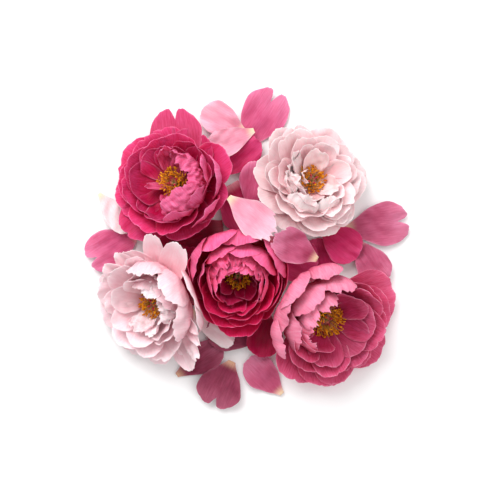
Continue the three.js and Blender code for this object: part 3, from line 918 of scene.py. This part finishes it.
# How many stamens a head has, and how wide their tuft spreads.
TUFTS = {"rose": (190, 1.6), "cerise": (120, 0.9)}
PLAIN_TUFT = (130, 1.05)
GOLDEN_ANGLE = 2.39996  # radians
STAMEN_SEED = 77
STAMEN_AZIMUTH_PLAY = (-0.2, 0.2)  # radians
INNERMOST_LEAN = 8
OUTERMOST_LEAN = 46
LEAN_PLAY = (-6, 6)
TUFT_RADIUS = 4.6  # where the innermost stamens leave the receptacle
TUFT_WIDTH = 1.8  # and how much further out and down the outermost do
TUFT_DROP = 2.5
FILAMENT_RADIUS = 0.28
FILAMENT_LENGTHS = (9.5, 13.5)
FILAMENT_STEPS = 5
FILAMENT_SWAY = (-1.5, 1.5)
FILAMENT_COLOR = linear(240, 196, 90)
ANTHER_ALONG = np.array([0.0, 0.12, 0.35, 0.65, 0.9, 1.0])
ANTHER_RADII = np.array([0.15, 0.55, 0.75, 0.72, 0.5, 0.12])
ANTHER_LENGTHS = (3.0, 4.4)
ANTHER_GIRTHS = (0.9, 1.15)
ANTHER_TILT = 0.45  # how far anthers point away from their filaments
ANTHER_HELD = 0.25  # how far along an anther its filament holds it
ANTHER_DARK = linear(200, 112, 18)
ANTHER_GOLD = linear(244, 178, 40)


def filament(rng, i, count, spread):
    """The path of stamen i: the inner ones stand up and the outer ones lean out."""
    outward = (i + 0.5) / count
    azimuth = i * GOLDEN_ANGLE + rng.uniform(*STAMEN_AZIMUTH_PLAY)
    lean = INNERMOST_LEAN + (OUTERMOST_LEAN - INNERMOST_LEAN) * outward
    lean = math.radians((lean + rng.uniform(*LEAN_PLAY)) * spread)
    length = rng.uniform(*FILAMENT_LENGTHS) * (1 + 0.4 * (spread - 1))
    t = np.linspace(0, 1, FILAMENT_STEPS)
    bow = lean * (1.25 - 0.7 * t)
    step = length / FILAMENT_STEPS
    out = TUFT_RADIUS + TUFT_WIDTH * outward + np.cumsum(np.sin(bow)) * step
    rise = 0.5 - TUFT_DROP * outward + np.cumsum(np.cos(bow)) * step
    side = rng.uniform(*FILAMENT_SWAY) * t**2
    c, q = math.cos(azimuth), math.sin(azimuth)
    return np.stack([out * c - side * q, out * q + side * c, rise], 1)


def build_stamens(head, material):
    rng = np.random.default_rng([STAMEN_SEED, HEADS.index(head.name)])
    count, spread = TUFTS.get(head.name, PLAIN_TUFT)
    forms = Gathered()
    for i in range(count):
        path = filament(rng, i, count, spread)
        forms.add_tube(tube(path, FILAMENT_RADIUS, 4), FILAMENT_COLOR)
        aim = path[-1] - path[-2]
        aim = aim / np.linalg.norm(aim) + rng.normal(0, ANTHER_TILT, 3)
        aim /= np.linalg.norm(aim)
        length = rng.uniform(*ANTHER_LENGTHS)
        anther = path[-1] + aim * ((ANTHER_ALONG - ANTHER_HELD) * length)[:, None]
        radii = ANTHER_RADII * rng.uniform(*ANTHER_GIRTHS)
        ripe = rng.uniform(0, 1)
        color = ANTHER_GOLD * ripe + ANTHER_DARK * (1 - ripe)
        forms.add_tube(tube(anther, radii, 6, squash=0.7), color)
    piece = forms.piece(f"{head.name}_stamens", material, head.place)
    hand_over(piece, f"{head.name}_peony_stamens")


# ------------ carpels

CARPELS = 4
CARPEL_SEED = 99
CARPEL_HEIGHT = 8.6
CREST_REACH = 2.6
CARPEL_GREEN = linear(190, 190, 120)
CARPEL_PINK = linear(214, 130, 120)
CREST_COLOR = linear(216, 60, 100)


def build_carpels(head, material):
    """A ring of plump pods, each with a crest that curls outwards."""
    rng = np.random.default_rng([CARPEL_SEED, HEADS.index(head.name)])
    forms = Gathered()
    for i in range(CARPELS):
        azimuth = (i + rng.uniform(-0.1, 0.1)) * 2 * math.pi / CARPELS + 0.4
        c, q = math.cos(azimuth), math.sin(azimuth)
        t = np.linspace(0, 1, 12)
        out = 2.1 + 1.6 * t**1.5
        pod = np.stack([out * c, out * q, 0.2 + CARPEL_HEIGHT * t], 1)
        plump = np.sin(math.pi * np.minimum(1, t * 1.05 + 0.12)) ** 0.8
        radii = 0.4 + 2.0 * plump * (1 - 0.35 * t)
        color = CARPEL_GREEN + (CARPEL_PINK - CARPEL_GREEN) * smooth(0.3, 0.8, t)[:, None]
        forms.add_tube(tube(pod, radii, 12, squash=0.85), color)
        t = np.linspace(0, 1, 7)
        reach = t * CREST_REACH
        crest = np.stack([reach * c, reach * q, 1.3 * np.sin(t * 2.4)], 1) + pod[-1] - [0, 0, 0.4]
        forms.add_tube(tube(crest, 0.75 * (1 - 0.6 * t), 6, squash=1.6), CREST_COLOR)
    piece = forms.piece(f"{head.name}_carpels", material, head.place)
    hand_over(piece, f"{head.name}_peony_carpels")


# ------------ stems and calyxes

STEM_RADIUS = 3.3
STEM_SIDES = 30
STEM_PAST = 3  # how far the stem runs on past the surface before it is cut level
STEM_TOP = -15.5  # above this height the rings are closer, for the receptacle
STEM_RINGS = 14
RECEPTACLE_FOOT = -14.8
RECEPTACLE_RINGS = 16
BULB_RADIUS = 4.92  # how much the receptacle swells past the stem
BULB_HALF_HEIGHT = 3.2
PEG_FOOT = -2  # above this height the receptacle is a peg
PEG_RADIUS = 3.4
STEM_GREEN = linear(96, 128, 58)
STEM_PALE = linear(150, 160, 84)
SEPALS = 5
SEPAL_SEED = 55
# How far under the seat the sepals leave the stem, by how many whorls the head has.
SEPAL_DEPTH = {3: 10.8, 4: 13.5}


def build_stem(head, material):
    """A ribbed stub with the swollen receptacle on top, cut level with the surface."""
    low = -(head.seat[2] / head.up[2]) - STEM_PAST
    stub = np.linspace(low, STEM_TOP, STEM_RINGS)
    h = np.concatenate([stub, np.linspace(RECEPTACLE_FOOT, 0, RECEPTACLE_RINGS)])
    bulb = BULB_RADIUS * np.exp(-(((h + BASE_DEPTH) / BULB_HALF_HEIGHT) ** 2) * 0.9)
    radii = STEM_RADIUS + 0.12 * np.sin(h * 1.3) + bulb
    radii = np.where(h > PEG_FOOT, PEG_RADIUS - 0.25 * (h - PEG_FOOT), radii)
    path = np.stack([0 * h, 0 * h, h], 1)
    color = STEM_GREEN + (STEM_PALE - STEM_GREEN) * smooth(-14, -6, h)[:, None]
    forms = Gathered()
    forms.add_tube(tube(path, radii, STEM_SIDES, ribs=0.035, across=(0, 1, 0)), color)

    def cut(local):
        points = head.place(local)
        slid = points - head.up * (points[:, 2:] / head.up[2])
        return np.where(points[:, 2:] < 0, slid, points)

    piece = forms.piece(f"{head.name}_stem", material, cut)
    hand_over(piece, f"{head.name}_peony_stem")


def build_calyx(head, material):
    sepals = Gathered()
    for i in range(SEPALS):
        seed = [SEPAL_SEED, HEADS.index(head.name), i]
        rng = np.random.default_rng(seed)
        sepal = Petal(
            [*seed, 1],
            azimuth=18 + i * 360 / SEPALS + rng.uniform(-8, 8),
            length=26 * rng.uniform(0.85, 1.05),
            width=18 * rng.uniform(0.8, 1.1),
            start=5,
            rise=-SEPAL_DEPTH[len(WHORLS[head.name])],
            base=-6,
            tip=16,
            claw=0.7,
            widest=0.4,
            taper=0.4,
            shoulder=0.5,
            round=1.7,
            crumple=0.3,
            ruffle=0.4,
            spoon=0.3,
            jag=0.01,
        )
        local, look = sepal.surface()
        tone = rng.uniform(-0.1, 0.1)
        sepals.add_petal(head.place(local), look, SEPAL_COLOR, tone, thick=SEPAL_THICKNESS)
    piece = sepals.piece(f"{head.name}_calyx", material)
    hand_over(piece, f"{head.name}_peony_calyx")


leaf_green = tissue("green tissue", 0.5, 0.55, 0.15, GREEN_GLOW)
stem_skin = tissue("stem skin", 0.4, 0.45, 0.1, GREEN_GLOW)
anthers = tissue("anthers", 0.3, 0.7, 0.2, (1.0, 0.6, 0.2))
pods = tissue("carpels", 0.4, 0.6, 0.25, (1.0, 0.5, 0.4))

for number, (name, head) in enumerate(heads.items()):
    petal_material = tissue(f"{name} petal", VEINS[name])
    for part, groups in WHORLS[name].items():
        build_whorl(head, part, groups, PETAL_SEED + number, petal_material)
    build_stamens(head, anthers)
    build_carpels(head, pods)
    build_stem(head, stem_skin)
    build_calyx(head, leaf_green)

# ------------ loose petals

LOOSE_SEED = 300
CLEFT = ((0.03, 0.2, 0.12),)
LOOSE_RISE = 0.3  # of a loose petal's lowest point above its CAD box's foot
FLAT_PETAL = dict(
    start=0, rise=0, wrap=0, claw=0.16, widest=0.66, shoulder=0.6, crumple=0.9, ruffle=1.6,
    rows=36, columns=36, pinwheel=0,
)


def loose(tint, azimuth, length, width, spoon, pitch=0, **shape):
    """A loose petal's colour and numbers; pitch is how steeply it lies."""
    values = dict(azimuth=azimuth, length=length, width=width, spoon=spoon)
    values.update(base=pitch - 3, tip=pitch + 8)
    return tint, {**FLAT_PETAL, **values, **shape}


LOOSE = {
    "north": loose("pink", 58, 68, 48, 0.25, notches=CLEFT),
    "north_west": loose("pale", 153, 48, 36, 0.7, crumple=1.2),
    "north_fold": loose("pale", 204, 52, 32, 0.8, crumple=1.2),
    "north_inner": loose("deep", 40, 56, 34, 0.4),
    "north_middle": loose("pink", 80, 50, 34, 0.4),
    "west_upper": loose("white", 308, 50, 26, 0.5),
    "west": loose("pink", 209, 60, 44, 0.3, notches=CLEFT),
    "west_inner": loose("dark", 187, 70, 46, 0.3, claw=0.7),
    "south_west": loose("painted_shade", 33, 55, 32, 0.4),
    "south_east": loose("mauve_and_shade", 135, 50, 34, 0.4, crumple=1.2),
    "south": loose("painted_shade", 245, 50, 48, 0.5, notches=CLEFT),
    "south_inner": loose("painted_shade", 165, 56, 42, 0.4),
    "south_middle": loose("dark", 262, 46, 36, 0.4),
    "south_strap": loose("white", 322, 56, 20, 0.4, claw=0.4, shoulder=0.8),
    "east": loose("mauve_and_shade", 8, 66, 46, 0.35, notches=CLEFT),
    "east_lower": loose("mauve_and_shade", 304, 52, 36, 0.4),
    "east_inner": loose("deep", 100, 46, 42, 0.4, claw=0.5),
    "east_upper": loose("deep", 322, 47, 40, 0.4),
    "middle_left": loose("dark", 95, 60, 36, 0.4),
    "middle_upper": loose("deep", 300, 50, 46, 0.4, claw=0.5),
    "middle_right": loose("deep", 341, 56, 46, 0.4, claw=0.6),
    "top_upper": loose("pale", 319, 60, 36, 0.35, pitch=16, jag=0.06, crumple=1.3),
    "top_lower": loose("mauve_and_shade", 152, 54, 36, 0.5, pitch=25, crumple=1.2, jag=0.03),
}


def build_loose(number, name, tint, shape, material):
    """A loose petal over the middle of its CAD solid's box, and on the box's foot."""
    node_name = f"loose_petal_{name}"
    low, high = (np.array(corner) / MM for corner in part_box(node_name))
    points, look = Petal([LOOSE_SEED, number], **shape).surface()
    flat = points.reshape(-1, 3)
    middle = (flat.min(0) + flat.max(0)) / 2
    points[..., :2] += ((low + high) / 2 - middle)[:2]
    points[..., 2] += low[2] + LOOSE_RISE - flat[:, 2].min()
    petals = Gathered()
    petals.add_petal(points, look, LOOSE_COLORS[tint], 0.0, shift=(number, 0))
    piece = petals.piece(node_name + "_looks", material)
    hand_over(piece, node_name)


loose_material = tissue("loose petal", 0.4)
for number, (name, (tint, shape)) in enumerate(LOOSE.items()):
    build_loose(number, name, tint, shape, loose_material)

# ------------ floor, light and camera, in metres

FLOOR_SIZE = 6
FLOOR_DROP = 0.0005  # under the object, so that the two don't share a plane
FLOOR_COLOR = (0.95, 0.95, 0.95, 1)
FLOOR_ROUGHNESS = 0.9
WORLD_STRENGTH = 0.68
CAMERA_HEIGHT = 1.53
CAMERA_SHIFT = (0.0035, -0.002)  # from the middle of the CAD box
LENS = 108


def build_floor():
    material = bpy.data.materials.new("floor")
    material.use_nodes = True
    shader = material.node_tree.nodes["Principled BSDF"]
    shader.inputs["Base Color"].default_value = FLOOR_COLOR
    shader.inputs["Roughness"].default_value = FLOOR_ROUGHNESS
    bpy.ops.mesh.primitive_plane_add(size=FLOOR_SIZE, location=(0, 0, -FLOOR_DROP))
    floor = bpy.context.object
    floor.name = "floor"
    floor.data.materials.append(material)


def area_light(name, place, size, power):
    """A square lamp that faces the origin."""
    data = bpy.data.lights.new(name, "AREA")
    data.shape = "SQUARE"
    data.size = size
    data.energy = power
    lamp = bpy.data.objects.new(name, data)
    lamp.location = place
    lamp.rotation_euler = (-Vector(place)).to_track_quat("-Z", "Y").to_euler()
    bpy.context.collection.objects.link(lamp)


def build_world():
    world = bpy.data.worlds.new("studio")
    world.use_nodes = True
    background = world.node_tree.nodes["Background"]
    background.inputs["Color"].default_value = (1, 1, 1, 1)
    background.inputs["Strength"].default_value = WORLD_STRENGTH
    bpy.context.scene.world = world
    bpy.context.scene.view_settings.view_transform = "Standard"


def build_camera():
    """A camera that looks straight down."""
    data = bpy.data.cameras.new("camera")
    data.lens = LENS
    data.sensor_width = 36
    camera = bpy.data.objects.new("camera", data)
    middle = (np.array(cad_bounds[0]) + np.array(cad_bounds[1])) / 2
    camera.location = (middle[0] + CAMERA_SHIFT[0], middle[1] + CAMERA_SHIFT[1], CAMERA_HEIGHT)
    bpy.context.collection.objects.link(camera)
    bpy.context.scene.camera = camera


build_floor()
area_light("key", (-0.6, 1.2, 1.5), 1.3, 33)
area_light("fill", (0.8, 0.1, 1.9), 1.6, 10)
build_world()
build_camera()
